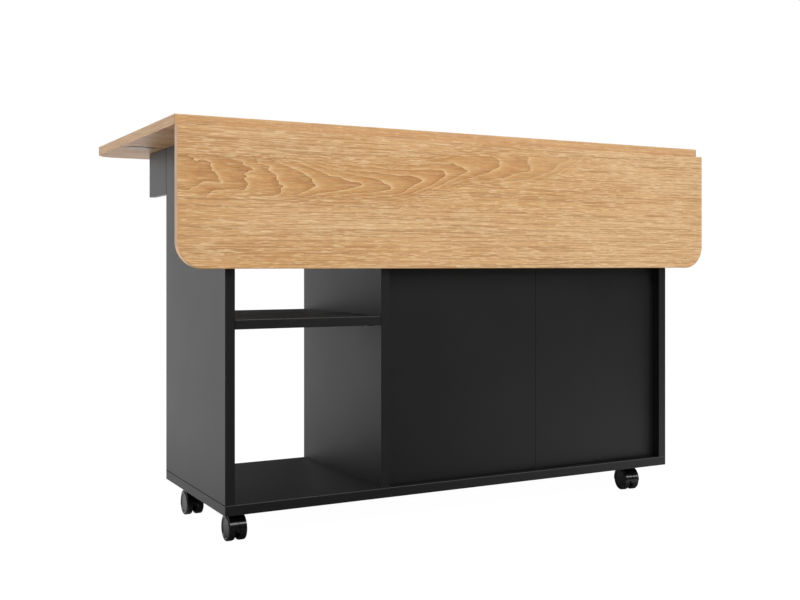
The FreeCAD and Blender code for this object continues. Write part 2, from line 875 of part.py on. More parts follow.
def make_side_hinges():
    fixed = hinge_half("side_hinge_fixed", *SIDE_HINGE, False)
    turning = hinge_half("side_hinge_turning", *SIDE_HINGE, True)
    uprights = []
    pins = []
    for arm, x, y, plate, face in arm_hinge_places():
        uprights += side_hinge_copies(fixed, f"{arm}_upright_plate", x, y, plate, face, ARM_LEVELS)
        label = arm + "_hinge_plates"
        node(group(label, side_hinge_copies(turning, label, x, y, plate, -face, ARM_LEVELS)), label)
        for level, height in ARM_LEVELS.items():
            at = (x, y, f"{height} - side_hinge_length / 2")
            pins.append(rod(f"{arm}_pin_{level}", "hinge_pin_radius", "side_hinge_length", at))
    node(group("arm_hinge_upright_plates", uprights), "arm_hinge_upright_plates")
    frames = []
    for door, x, outward in door_hinge_places():
        face = X_AXIS * outward
        frames += side_hinge_copies(fixed, f"{door}_frame_plate", x, "door_pin_y", -Y_AXIS, face, DOOR_LEVELS)
        label = door + "_hinge_plates"
        copies = side_hinge_copies(turning, label, x, "door_pin_y", -Y_AXIS, -face, DOOR_LEVELS)
        node(group(label, copies), label)
        for level, height in DOOR_LEVELS.items():
            at = (x, "door_pin_y", f"{height} - side_hinge_length / 2")
            pins.append(rod(f"{door}_pin_{level}", "hinge_pin_radius", "side_hinge_length", at))
    node(group("door_hinge_frame_plates", frames), "door_hinge_frame_plates")
    node(group("side_hinge_pins", pins), "side_hinge_pins")


def make_arms():
    for side, face, inward in arm_sides():
        start = f"{face} + near_arm_inset" if inward > 0 else f"{face} - near_arm_inset - arm_reach"
        label = f"near_{side}_support_arm"
        size = ("arm_reach", "arm_thickness", "arm_height")
        node(block(label, size, (start, "near_face + near_arm_recess", "arm_under")), label)
        start = face if inward > 0 else f"{face} - arm_thickness"
        label = f"far_{side}_support_arm"
        size = ("arm_thickness", "arm_reach", "arm_height")
        node(block(label, size, (start, "far_arm_near", "arm_under")), label)


def make_doors():
    doors = {
        "left": ("partition_right", "left_closed_width", "divider_left - handle_edge_inset"),
        "right": ("divider_right", "right_closed_width", "divider_right + handle_edge_inset"),
    }
    for side, (x, width, handle_x) in doors.items():
        size = (f"{width} - 2 * door_side_gap", "door_thickness", "door_height")
        node(block(f"{side}_door", size, (f"{x} + door_side_gap", "door_near", "door_under")), f"{side}_door")
        handle_low = "door_top - handle_top_inset - handle_length"
        bar_y = "far_face + handle_stand_off + handle_radius"
        bar = rod(f"{side}_handle_bar", "handle_radius", "handle_length", (handle_x, bar_y, handle_low))
        posts = []
        for end, share in (("low", -1), ("high", 1)):
            level = f"{handle_low} + handle_length / 2 + {share} * handle_post_spacing / 2"
            at = (handle_x, "far_face", level)
            length = "handle_stand_off + handle_radius"
            posts.append(rod(f"{side}_handle_post_{end}", "handle_post_radius", length, at, "y"))
        node(fuse(f"{side}_door_handle", [bar] + posts), f"{side}_door_handle")


# Casters, each modelled about the axis of its kingpin and then turned and moved to its corner
def make_wheel_unit():
    """A wheel with a tread, a dished outer disc and a hollow inner side, about its X axis."""
    body = doc.addObject("PartDesign::Body", "wheel_unit")
    bore = "axle_radius + axle_gap"
    inner_rim = "wheel_radius - wheel_rim"
    disc_inside = "wheel_width - wheel_dish - wheel_disc"
    corners = [
        ("0", bore),
        ("0", "hub_radius"),
        (disc_inside, "hub_radius"),
        (disc_inside, inner_rim),
        ("0", inner_rim),
        ("0", "wheel_radius - wheel_inner_round"),
        ("wheel_inner_bevel", "wheel_radius - wheel_inner_bevel"),
        ("wheel_inner_round", "wheel_radius"),
        ("wheel_width - wheel_round", "wheel_radius"),
        ("wheel_width - wheel_bevel", "wheel_radius - wheel_bevel"),
        ("wheel_width", "wheel_radius - wheel_round"),
        ("wheel_width", "wheel_radius - wheel_rim"),
        ("wheel_width - wheel_dish", "wheel_radius - wheel_rim - wheel_dish"),
        ("wheel_width - wheel_dish", "0"),
        ("axle_depth + axle_gap", "0"),
        ("axle_depth + axle_gap", bore),
    ]
    turned = body.newObject("PartDesign::Revolution", "wheel_turned")
    sketch = outline(body, "XY_Plane", corners)
    turned.Profile = sketch
    turned.ReferenceAxis = (sketch, ["H_Axis"])
    turned.Angle = 360
    doc.recompute()
    return body


def make_housing_unit():
    """The hood over both wheels, the web between them and the boss for the kingpin."""
    axle_at = ("-caster_trail", "wheel_radius")
    hood = rod("hood_outer", "hood_outside", "hood_width", ("-hood_width / 2", *axle_at), "x")
    hood.Angle = HOOD_COVER
    # about the axle, the cover starts low behind the kingpin and ends level with the axle in front
    about_axle = FreeCAD.Rotation(Y_AXIS, Z_AXIS, X_AXIS, "XYZ")
    start = FreeCAD.Rotation(X_AXIS, HOOD_START)
    hood.Placement = FreeCAD.Placement(FreeCAD.Vector(), start.multiply(about_axle))
    place(hood, ("-hood_width / 2", *axle_at))
    # a groove round the hood parts it into one cover for each wheel
    groove_at = ("-hood_groove_width / 2", *axle_at)
    outer = rod("hood_groove_outer", "hood_outside + hood_thickness", "hood_groove_width", groove_at, "x")
    core_radius = "hood_outside - hood_groove_depth"
    core = rod("hood_groove_core", core_radius, "hood_groove_width", groove_at, "x")
    covers = cut("hood_covers", hood, [cut("hood_groove", outer, [core])])
    boss_at = ("0", "0", "wheel_radius")
    boss = rod("hood_boss", "hood_boss_radius", "boss_top - wheel_radius", boss_at)
    clear = "wheel_middle + wheel_width"
    room = rod("wheel_room", "hood_inside", f"2 * ({clear})", (f"-({clear})", *axle_at), "x")
    shell = cut("hood_shell", fuse("hood_and_boss", [covers, boss]), [room])
    web_at = ("-web_thickness / 2", *axle_at)
    disc = rod("web_disc", "hood_inside + hood_thickness / 2", "web_thickness", web_at, "x")
    keep = block(
        "web_keep",
        ("web_thickness", "2 * hood_inside", "hood_outside + hub_radius"),
        ("-web_thickness / 2", "-caster_trail - hood_inside", "wheel_radius - hub_radius"),
    )
    whole = fuse("housing_whole", [shell, common("hood_web", [disc, keep])])
    axle_bore = rod("housing_axle_bore", "axle_radius", "web_thickness", web_at, "x")
    pin_bore_length = "kingpin_length + kingpin_end_gap - boss_gap"
    pin_bore = rod(
        "housing_kingpin_bore",
        "kingpin_radius + kingpin_gap",
        pin_bore_length,
        ("0", "0", f"boss_top - ({pin_bore_length})"),
    )
    return cut("housing_unit", whole, [axle_bore, pin_bore])


def make_plate_unit():
    """The caster's fixing plate with its riveted kingpin, about the kingpin's axis."""
    corners = [("0", "0"), ("plate_length", "0"), ("plate_length", "plate_width"), ("0", "plate_width")]
    body, pad = padded_body("caster_plate_board", corners, "plate_thickness")
    rounded(
        body,
        "caster_plate_corners",
        pad,
        "plate_corner",
        lambda edge: edge.BoundBox.ZLength > amount("plate_thickness") / 2,
    )
    place(body, ("-plate_length / 2", "-plate_width / 2", "plate_under"))
    pin_at = ("0", "0", "plate_under - kingpin_length")
    pin = rod("caster_kingpin", "kingpin_radius", "kingpin_length", pin_at)
    holes = []
    for side, (along, across) in SCREW_SIDES.items():
        at = (
            f"{along} * (plate_length / 2 - caster_screw_inset)",
            f"{across} * (plate_width / 2 - caster_screw_inset)",
            "plate_under",
        )
        name = f"caster_plate_hole_{side}"
        holes.append(rod(name, "caster_screw_radius + screw_gap", "plate_thickness", at))
    return cut("caster_plate_unit", fuse("caster_plate_and_pin", [body, pin]), holes)


def make_casters():
    wheel = make_wheel_unit()
    housing = make_housing_unit()
    plate = make_plate_unit()
    axle_at = ("-axle_reach", "-caster_trail", "wheel_radius")
    axle = rod("axle_unit", "axle_radius", "2 * axle_reach", axle_at, "x")
    # each wheel unit is set on the axle, its hollow side to the web
    right = copy("right_wheel_unit", wheel, ("wheel_middle", "-caster_trail", "wheel_radius"))
    turned = FreeCAD.Rotation(Z_AXIS, 180)
    left = copy("left_wheel_unit", wheel, ("-wheel_middle", "-caster_trail", "wheel_radius"), turned)
    units = {
        "housing": group("housing_at_kingpin", [housing]),
        "axle": group("axle_at_kingpin", [axle]),
        "left_wheel": group("left_wheel_at_kingpin", [left]),
        "right_wheel": group("right_wheel_at_kingpin", [right]),
    }
    plates = []
    for corner, (x, y) in CASTER_PLACES.items():
        turn = FreeCAD.Rotation(Z_AXIS, CASTER_TURNS[corner])
        plates.append(copy(f"{corner}_caster_plate", plate, (x, y, "0")))
        for kind, unit in units.items():
            label = f"{corner}_caster_{kind}"
            node(copy(label, unit, (x, y, "0"), turn), label)
    node(group("caster_plates", plates), "caster_plates")
    screws = []
    for name, x, y in caster_screw_places():
        shank_name = f"caster_screw_shank_{name}"
        shank = rod(shank_name, "caster_screw_radius", "caster_screw_length", (x, y, "plate_under"))
        head = rod(
            f"caster_screw_head_{name}",
            "caster_screw_head",
            "caster_screw_head_height",
            (x, y, "plate_under - caster_screw_head_height"),
        )
        screws.append(fuse(f"caster_screw_{name}", [shank, head]))
    node(group("caster_screws", screws), "caster_screws")


make_base()
make_uprights()
make_rails()
make_back_panels()
make_shelves()
make_panel_screws()
make_top_screws()
make_main_top()
make_leaves()
make_leaf_hinges()
make_side_hinges()
make_arms()
make_doors()
make_casters()
doc.recompute()

# Every object has to be sound before any piece is written
for thing in doc.Objects:
    if "Invalid" in thing.State or "Error" in thing.State:
        raise RuntimeError(f"{thing.Label} did not build: {thing.State}")
shapes = {}
for thing in nodes:
    shape = Part.getShape(thing)
    if shape.isNull() or not shape.isValid() or not shape.Solids:
        raise RuntimeError(f"{thing.Label} has no sound shape")
    shapes[thing.Label] = shape

os.makedirs("parts", exist_ok=True)
for label, shape in shapes.items():
    shape.exportStep(os.path.join("parts", label + ".step"))
    print(f"{label}: {len(shape.Solids)} solids, {shape.Volume / 1000:.1f} cm3")
whole = Part.makeCompound(list(shapes.values())).optimalBoundingBox()
print(f"{len(shapes)} nodes, box {whole.XMin:.2f} {whole.YMin:.2f} {whole.ZMin:.2f}")
print(f"to {whole.XMax:.2f} {whole.YMax:.2f} {whole.ZMax:.2f}")
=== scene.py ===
# %% [markdown]
# # A rolling kitchen cart
#
# The cart is a black cabinet on four twin-wheel casters, with an oak top and two drop leaves.
# One leaf hangs and the other lies on two arms that swing out. The solids come from the CAD
# model, so this lesson leaves every board where it is. It gives the boards their finish, adds the
# small hardware that a CAD model leaves plain, and sets up a studio to look at it in.

import math

import bpy
from mathutils import Matrix, Vector


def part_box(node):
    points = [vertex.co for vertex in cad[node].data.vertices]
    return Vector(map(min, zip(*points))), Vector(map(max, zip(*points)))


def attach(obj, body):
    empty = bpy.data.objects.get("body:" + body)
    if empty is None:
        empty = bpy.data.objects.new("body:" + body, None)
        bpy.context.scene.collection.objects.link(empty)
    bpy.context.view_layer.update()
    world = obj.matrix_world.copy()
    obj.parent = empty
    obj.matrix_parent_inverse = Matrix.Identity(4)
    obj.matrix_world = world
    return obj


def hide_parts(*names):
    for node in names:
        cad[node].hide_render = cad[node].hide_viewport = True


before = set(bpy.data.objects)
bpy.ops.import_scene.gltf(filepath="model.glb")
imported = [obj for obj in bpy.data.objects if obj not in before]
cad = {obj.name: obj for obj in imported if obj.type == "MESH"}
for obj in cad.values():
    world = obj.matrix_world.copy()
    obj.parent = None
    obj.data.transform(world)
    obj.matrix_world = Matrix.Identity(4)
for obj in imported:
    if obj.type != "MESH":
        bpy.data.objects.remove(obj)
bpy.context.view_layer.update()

# %% [markdown]
# ## Writing materials as sums
#
# A procedural finish is a small calculation that Blender repeats at each point of a surface.
# Drawn by hand it is a web of nodes. In a script it reads better as a sum, so one class stands for
# a value that changes over the surface, and Python's own operators add the Math nodes. A second
# class holds one material, and a single method of it adds any other node.


# %% Values that change over a surface
class Amount:
    """A socket of a material's nodes, which takes part in sums."""

    def __init__(self, recipe, socket):
        self.recipe = recipe
        self.socket = socket

    def math(self, operation, *values):
        inputs = dict(enumerate(values))
        return self.recipe.node("ShaderNodeMath", {"operation": operation}, inputs)

    def __add__(self, other):
        return self.math("ADD", self, other)

    def __sub__(self, other):
        return self.math("SUBTRACT", self, other)

    def __rsub__(self, other):
        return self.math("SUBTRACT", other, self)

    def __mul__(self, other):
        return self.math("MULTIPLY", self, other)

    def __truediv__(self, other):
        return self.math("DIVIDE", self, other)

    def __pow__(self, other):
        return self.math("POWER", self, other)

    def __abs__(self):
        return self.math("ABSOLUTE", self)

    def __mod__(self, other):
        return self.math("FLOORED_MODULO", self, other)

    __radd__ = __add__
    __rmul__ = __mul__


# %% One material
class Recipe:
    """The nodes of one material, and the one way in which nodes are added to it."""

    def __init__(self, tree):
        self.tree = tree
        tree.nodes.clear()

    def node(self, kind, settings=None, inputs=None, output=0):
        node = self.tree.nodes.new(kind)
        for name, value in (settings or {}).items():
            if name == "stops":
                self.set_stops(node.color_ramp.elements, value)
            else:
                setattr(node, name, value)
        for key, value in (inputs or {}).items():
            if isinstance(value, Amount):
                self.tree.links.new(value.socket, node.inputs[key])
            else:
                node.inputs[key].default_value = value
        return Amount(self, node.outputs[output]) if node.outputs else node

    def set_stops(self, elements, stops):
        while len(elements) < len(stops):
            elements.new(1)
        for element, (position, colour) in zip(elements, stops):
            element.position = position
            element.color = colour

    def point(self):
        """The place on the piece, in metres, in the cart's own frame."""
        return self.node("ShaderNodeTexCoord", output="Object")

    def parts(self, vector):
        split = self.node("ShaderNodeSeparateXYZ", inputs={0: vector}).socket.node
        return [Amount(self, socket) for socket in split.outputs]

    def noise(self, vector, stretch, detail=2.0, roughness=0.5):
        """Cloudy noise from 0 to 1, with so many clouds to the metre along each axis."""
        spread = self.node("ShaderNodeMapping", inputs={"Vector": vector, "Scale": stretch})
        inputs = {"Vector": spread, "Scale": 1.0, "Detail": detail, "Roughness": roughness}
        return self.node("ShaderNodeTexNoise", inputs=inputs)

    def even_noise(self, vector, scale, detail=2.0, roughness=0.5):
        """The same with as many clouds to the metre along all three axes."""
        return self.noise(vector, (scale, scale, scale), detail, roughness)

    def ramp(self, factor, *stops):
        return self.node("ShaderNodeValToRGB", {"stops": stops}, {"Fac": factor})

    def between(self, value, low, high):
        """Where a value lies from low to high, from 0 to 1 with soft ends."""
        limits = {"Value": value, "From Min": low, "From Max": high}
        return self.node("ShaderNodeMapRange", {"interpolation_type": "SMOOTHSTEP"}, limits)

    def blend(self, factor, first, second):
        """One colour where the factor is 0, the other where it is 1."""
        inputs = {0: factor, 6: first, 7: second}
        return self.node("ShaderNodeMix", {"data_type": "RGBA"}, inputs, output=2)

    def relief(self, height, depth):
        inputs = {"Height": height, "Strength": 1.0, "Distance": depth}
        return self.node("ShaderNodeBump", inputs=inputs)

    def finish(self, inputs):
        """Ends the material in one shader, which takes these inputs."""
        shader = self.node("ShaderNodeBsdfPrincipled", inputs=inputs)
        self.node("ShaderNodeOutputMaterial", inputs={"Surface": shader})


def new_recipe(name):
    material = bpy.data.materials.new(name)
    material.use_nodes = True
    return material, Recipe(material.node_tree)


# %% Colours
def paint(red, green, blue):
    """A colour as read from a screen, from 0 to 255, in the linear values that Blender takes."""
    levels = [level / 255 for level in (red, green, blue)]
    return (*[v / 12.92 if v < 0.04 else ((v + 0.055) / 1.055) ** 2.4 for v in levels], 1.0)


def shade(colour, share):
    """The same colour with a share of its light."""
    return tuple(c * share for c in colour[:3]) + (1.0,)


# %% [markdown]
# ## Oak
#
# The top and the leaves are faced with oak, in two planks side by side. A plank sawn through a
# log shows the year rings: as arches along its middle, where the saw ran nearly along a ring, and
# as close straight lines at its sides. A wave texture that noise bends gives wood of a kind, but
# not arches in chosen places. So the pattern here counts the rings. The count grows slowly along
# the plank and quickly away from its heart line, and lines of equal count are arches.
#
# Noise stretched along the grain makes the rings wander, and finer noise draws the veins, the
# pores and the short pale flecks. All these kinds of noise stand in one table.

# %% Noise along the grain
X, Y, Z = range(3)
# clouds to the metre along the grain and across it, then detail and roughness
GRAIN_NOISE = {
    "slow": (2.6, 10.0, 2.0, 0.5),
    "wave": (13.0, 38.0, 2.0, 0.5),
    "patch": (2.5, 14.0, 2.0, 0.5),
    "streak": (3.0, 62.0, 3.0, 0.5),
    "vein": (5.0, 520.0, 2.0, 0.5),
    "fleck": (36.0, 640.0, 2.0, 0.5),
    "pore": (70.0, 900.0, 2.0, 0.6),
}


def grain_noise(recipe, place, name):
    lengthwise, crosswise, detail, roughness = GRAIN_NOISE[name]
    return recipe.noise(place, (lengthwise, crosswise, crosswise), detail, roughness)


# %% Year rings
ARCH_STEP = 0.082  # from arch to arch along the heart line
RING_WIDTH = 0.0062  # from line to line at the plank's sides
HEART_WANDER, RING_WANDER = 0.022, 2.2
LEFT_END, RIGHT_PART = (-0.38, -0.60), (-0.3, 0.1)
LOWER_HALF = (0.0, -0.012)
SQUEEZE, SQUEEZE_AT_LEFT = 0.4, 0.6
BLUNT, BLUNT_AT_LEFT, BLUNT_AT_RIGHT = 0.05, 0.30, 0.05
WAVES, WAVES_AT_LEFT = 1.0, 1.2
PLANK_SHIFT = 0.4  # of a year, between the two planks


def year_rings(recipe, place, along, side, seam, hearts, climbs):
    """How far a year has gone, from 0 to 1, and the distance across from the heart line."""
    slow = grain_noise(recipe, place, "slow") - 0.5
    wave = grain_noise(recipe, place, "wave") - 0.5
    seam_place, seam_slope = seam
    upper = side.math("GREATER_THAN", side - along * seam_slope, seam_place)
    low_heart, high_heart = hearts
    for rise, start, end in climbs:
        low_heart = recipe.between(along, start, end) * rise + low_heart
    heart = low_heart + upper * (high_heart - low_heart)
    offset = side - heart + slow * HEART_WANDER
    # the lower halves of the arches lie closer together, most of all at the left end
    left = recipe.between(along, *LEFT_END)
    below = recipe.between(offset, *LOWER_HALF)
    offset = offset * (1.0 + below * (left * SQUEEZE_AT_LEFT + SQUEEZE))
    # the arches are blunt and uneven at the left end, sharp beside it and less so further on
    blunt = left * BLUNT_AT_LEFT + recipe.between(along, *RIGHT_PART) * BLUNT_AT_RIGHT + BLUNT
    bend = (offset * offset + blunt * blunt) ** 0.5 - blunt
    count = along / ARCH_STEP + bend / RING_WIDTH + slow * RING_WANDER
    count = count + wave * (left * WAVES_AT_LEFT + WAVES) + upper * PLANK_SHIFT
    return count % 1.0, offset


# %% [markdown]
# A year runs from the pale porous wood of spring to the brown line of autumn, which a colour ramp
# gives. Away from the heart line the rings are too close to tell apart, and the arches also fade
# towards the right. So there a plain oak colour takes over, which turns paler along the board.

# %% The colour of a year
YEAR_COLOURS = (
    (0.00, paint(241, 204, 150)),
    (0.08, paint(227, 182, 123)),
    (0.22, paint(212, 159, 96)),
    (0.62, paint(202, 146, 83)),
    (0.93, paint(184, 126, 65)),
    (1.00, paint(158, 103, 51)),
)
PLAIN_COLOURS = ((0.25, paint(212, 158, 97)), (0.75, paint(231, 193, 145)))
PALER_ALONG = 0.20
AWAY_FROM_HEART = (0.035, 0.085)
TOWARDS_RIGHT = (-0.12, 0.36)
PLAIN_LEAST, PLAIN_MORE, FADED_AT_RIGHT = 0.12, 0.66, 0.7


def year_colour(recipe, place, along, year, offset):
    wood = recipe.ramp(year, *YEAR_COLOURS)
    tone = grain_noise(recipe, place, "patch") + along * PALER_ALONG
    plain = recipe.ramp(tone, *PLAIN_COLOURS)
    away = recipe.between(abs(offset), *AWAY_FROM_HEART)
    late = recipe.between(along, *TOWARDS_RIGHT)
    faded = 1.0 - (1.0 - away) * (1.0 - late * FADED_AT_RIGHT)
    return recipe.blend(PLAIN_LEAST + faded * PLAIN_MORE, wood, plain)


# %% Veins, flecks and pores
# each mark: where its noise shows, how strongly, and its colour
VEINS = ((0.46, 0.60), 0.74, paint(182, 133, 82))
FLECKS = ((0.52, 0.62), 0.66, paint(242, 210, 162))
PORES = ((0.52, 0.75), 0.38, paint(160, 113, 70))
AWAY_FROM_ARCHES, FAINTEST = (0.02, 0.06), 0.4


def marked(recipe, colour, noise, mark, strength=1.0):
    limits, share, mark_colour = mark
    return recipe.blend(recipe.between(noise, *limits) * strength * share, colour, mark_colour)


def fine_marks(recipe, colour, offset, vein, fleck, pore):
    """Draws the marks over a colour, with veins and flecks that are faint over the arches."""
    away = recipe.between(abs(offset), *AWAY_FROM_ARCHES)
    strength = away * (1.0 - FAINTEST) + FAINTEST
    colour = marked(recipe, colour, vein, VEINS, strength)
    colour = marked(recipe, colour, fleck, FLECKS, strength)
    return marked(recipe, colour, pore, PORES)


# %% [markdown]
# A board's other face is browner and streaked. The edges carry a thin strip of their own, so there
# the rings give way to fine straight lines, and the strips at the two ends have a colour of their
# own again. Each face could have a material of its own, but its faces would have to be marked in
# the CAD mesh, which stays as it is. So one material works out from the place on the board
# which face it is on.

# %% The other face and the edges
leaf_low, leaf_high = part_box("near_leaf")
THICKNESS = leaf_high.y - leaf_low.y
BOARD_END = leaf_high.x
BACK_BROWN, STREAK_LIMITS = paint(144, 92, 44), (0.40, 0.62)
BROWN_LEAST, BROWN_IN_STREAKS = 0.20, 0.46
STRIP_COLOURS = ((0.3, paint(205, 162, 112)), (0.7, paint(228, 190, 142)))
STRIP_SHARE, END_STOPS = 0.4, (0.38, 0.62)
# how far inside the board the other face, the side strips and the end strips begin and are full
FACE_SKIN, SIDE_SKIN, END_SKIN = (0.0008, 0.0002), (0.0014, 0.0006), (0.0020, 0.0005)
LINES_DEEP, LINES_LONG = 900.0, 12.0
PALE_ENDS = (paint(174, 136, 103), paint(196, 160, 124))
BROWN_ENDS = (paint(160, 121, 80), paint(190, 152, 109))


def just_inside(size, skin):
    return [size - depth for depth in skin]


def other_face(recipe, place, colour, depth):
    """Turns a colour browner where the depth from the outer face is that of the other one."""
    back = recipe.between(depth, *just_inside(THICKNESS, FACE_SKIN))
    streak = grain_noise(recipe, place, "streak")
    brown = back * (recipe.between(streak, *STREAK_LIMITS) * BROWN_IN_STREAKS + BROWN_LEAST)
    return recipe.blend(brown, colour, BACK_BROWN)


def edge_strip(recipe, place, colour, along, into, end_colours):
    """The colour of the strip round a board, on its sides and at its ends."""
    lines = tuple(LINES_DEEP if axis == into else LINES_LONG for axis in (X, Y, Z))
    fine = recipe.noise(place, lines)
    side_strip = recipe.blend(STRIP_SHARE, colour, recipe.ramp(fine, *STRIP_COLOURS))
    end_strip = recipe.ramp(fine, *zip(END_STOPS, end_colours))
    at_end = recipe.between(abs(along), *just_inside(BOARD_END, END_SKIN))
    return recipe.blend(at_end, side_strip, end_strip)


# %% The oak finish
OAK_ROUGHNESS, OAK_RELIEF = 0.42, 0.0004


def oak(name, across, into, face, seam, hearts, climbs, end_colours):
    """Oak with its grain along X. across and into are axes, Y or Z. The outer face lies at face
    along into, and the planks meet at seam along across, given at X = 0 and with a slope. Each
    plank has a heart line, and the lower one's climbs by heights between places along X."""
    material, recipe = new_recipe(name)
    place = recipe.point()
    parts = recipe.parts(place)
    along, side, deep = parts[X], parts[across], parts[into]
    year, offset = year_rings(recipe, place, along, side, seam, hearts, climbs)
    vein, fleck, pore = [grain_noise(recipe, place, mark) for mark in ("vein", "fleck", "pore")]
    colour = year_colour(recipe, place, along, year, offset)
    colour = fine_marks(recipe, colour, offset, vein, fleck, pore)
    colour = other_face(recipe, place, colour, abs(deep - face))
    strip = edge_strip(recipe, place, colour, along, into, end_colours)
    half = THICKNESS / 2
    middle = face - half if into == Z else face + half
    on_edge = 1.0 - recipe.between(abs(deep - middle), *just_inside(half, SIDE_SKIN))
    recipe.finish(
        {
            "Base Color": recipe.blend(on_edge, colour, strip),
            "Roughness": OAK_ROUGHNESS + vein * 0.12,
            "Normal": recipe.relief(vein * 0.4 + fleck * 0.3 - pore * 0.3, OAK_RELIEF),
        }
    )
    return material


# %% The three oak boards
top_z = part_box("main_top")[1].z
far_low, far_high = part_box("far_leaf")
OAKS = {
    "near_leaf": oak(
        "oak_hanging_leaf",
        across=Z,
        into=Y,
        face=leaf_low.y,
        seam=(leaf_high.z - 0.033, 0.04),
        hearts=(leaf_high.z - 0.115, leaf_high.z + 0.25),
        climbs=((0.060, -0.24, 0.02), (0.12, 0.14, 0.55)),
        end_colours=PALE_ENDS,
    ),
    "main_top": oak(
        "oak_top",
        across=Y,
        into=Z,
        face=top_z,
        seam=(-0.13, 0.0),
        hearts=(-0.25, 0.01),
        climbs=((0.03, -0.3, 0.4),),
        end_colours=BROWN_ENDS,
    ),
    "far_leaf": oak(
        "oak_raised_leaf",
        across=Y,
        into=Z,
        face=top_z,
        seam=(far_high.y - 0.09, 0.0),
        hearts=(far_low.y + 0.1, far_high.y + 0.22),
        climbs=((0.02, -0.2, 0.3),),
        end_colours=BROWN_ENDS,
    ),
}
print(f"oak on {sorted(OAKS)}, boards {THICKNESS * 1000:.1f} mm thick")

# %% [markdown]
# ## Black melamine
#
# The cabinet is chipboard faced with black melamine paper. The paper is matt to satin, and it is
# pressed with a fine pore pattern that follows the board. One black with one gloss would look like
# plastic. Since the colour hardly changes, what shows is the pressing: long shallow pores that
# break up the shine, and a slightly uneven gloss. Two lines are drawn besides: the dull joint
# between the base and the end panels, made darker with painted shade of its narrow gap, and a
# painted highlight along the near upper edges of the base and of the open shelf.

# %% The joint's painted shade and the painted edge highlights
base_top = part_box("base_board")[1]
JOINT_HEIGHT, JOINT_WIDTH = base_top.z, (0.0007, 0.0016)
JOINT_OUTSIDE = (base_top.x - 0.0016, base_top.x - 0.0011)
# painted shade: the near black that stands for the shade in the joint's narrow gap
JOINT_SHADE_BLACK = paint(6, 6, 6)
# painted highlight: the near upper edges of these boards, drawn paler as if they caught the light
LINED_BOARDS = ("base_board", "open_bay_shelf")
LINED_EDGES = [(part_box(name)[1].z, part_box(name)[0].y) for name in LINED_BOARDS]
LINE_WIDTH = 0.0016
FULL_WIDTH = LINE_WIDTH * 0.6
EDGE_HIGHLIGHT_GREY = paint(74, 74, 76)


def joint_line(recipe, across, height):
    """Where the joint between the base and the end panels shows on the outside: a real joint, drawn
    duller and darkened with painted shade of its gap.
    """
    outside = recipe.between(abs(across), *JOINT_OUTSIDE)
    return (1.0 - recipe.between(abs(height - JOINT_HEIGHT), *JOINT_WIDTH)) * outside


def paint_edge_highlights(recipe, colour, deep, height):
    """Paints a highlight, as a paler colour, along the near upper edges of two boards."""
    for top, front in LINED_EDGES:
        highlighted = recipe.between(abs(height - top), LINE_WIDTH, FULL_WIDTH)
        highlighted = highlighted * recipe.between(abs(deep - front), LINE_WIDTH, FULL_WIDTH)
        colour = recipe.blend(highlighted, colour, EDGE_HIGHLIGHT_GREY)
    return colour


# %% The black board finish
PORES_LONG, PORES_ACROSS, CLOUDS = 30.0, 900.0, 7.0
SATIN, MELAMINE_RELIEF = 0.36, 0.00018


def melamine(name, grain, colour=paint(21, 21, 22)):
    """Black board with its pores along one axis."""
    material, recipe = new_recipe(name)
    place = recipe.point()
    stretch = tuple(PORES_LONG if axis == grain else PORES_ACROSS for axis in (X, Y, Z))
    pores = recipe.noise(place, stretch, 3.0, 0.6)
    cloud = recipe.even_noise(place, CLOUDS, 3.0)
    across, deep, height = recipe.parts(place)
    joint_shade = joint_line(recipe, across, height)
    stops = (0.35, shade(colour, 0.8)), (0.65, shade(colour, 1.25))
    face = recipe.ramp(pores * 0.6 + cloud * 0.4, *stops)
    # painted highlights along the near upper edges of the base and the shelf
    if grain == X:
        face = paint_edge_highlights(recipe, face, deep, height)
    # the joint's darker colour is painted shade of its narrow gap, and its lower gloss is the
    # joint's own
    recipe.finish(
        {
            "Base Color": recipe.blend(joint_shade, face, JOINT_SHADE_BLACK),
            "Roughness": SATIN + pores * 0.12 + cloud * 0.06 + joint_shade * 0.45,
            "Normal": recipe.relief(pores, MELAMINE_RELIEF),
        }
    )
    return material


UPRIGHT_BOARD = melamine("melamine_upright", Z)
LEVEL_BOARD = melamine("melamine_level", X)
BACK_BOARD = melamine("hardboard_black", Z, paint(20, 20, 21))
print(f"joint at {JOINT_HEIGHT * 1000:.1f} mm, {len(LINED_EDGES)} rubbed edges")

# %% [markdown]
# ## Metal and moulded plastic
#
# The hinges are pressed steel with a thin nickel plating, the screws are bright zinc and the
# handles are powder coated. The casters are moulded nylon: glossy hoods, duller wheels, and on
# both the faint clouds that flowing plastic leaves. They could be seven materials written out one
# by one, but plating and moulding each leave the same kind of marks. So there are two recipes, and
# each finish is one of them with its own colour, shine and grain.

# %% Plated steel
STAINS, PLATING_RELIEF = 60.0, 0.00005


def plated(name, colour, roughness, streaks):
    """Plated steel, with fine rolling marks at so many to the metre along each axis."""
    material, recipe = new_recipe(name)
    place = recipe.point()
    marks = recipe.noise(place, streaks, 3.0, 0.6)
    stain = recipe.even_noise(place, STAINS, 3.0)
    stained = recipe.between(stain, 0.4, 0.7)
    recipe.finish(
        {
            "Base Color": recipe.blend(stained, colour, shade(colour, 0.8)),
            "Metallic": 1.0,
            "Roughness": roughness + marks * 0.18,
            "Normal": recipe.relief(marks, PLATING_RELIEF),
        }
    )
    return material


HINGE_STEEL = plated("nickel_hinge", paint(196, 194, 190), 0.24, (40.0, 700.0, 700.0))
PIN_STEEL = plated("plain_pin", paint(188, 188, 188), 0.28, (300.0, 300.0, 300.0))
SCREW_STEEL = plated("zinc_screw", paint(178, 178, 176), 0.32, (400.0, 400.0, 400.0))
PLATE_STEEL = plated("black_zinc_plate", paint(52, 52, 54), 0.35, (300.0, 300.0, 300.0))

# %% Moulded plastic
GRAINS, FLOW_MARKS = 1800.0, 35.0


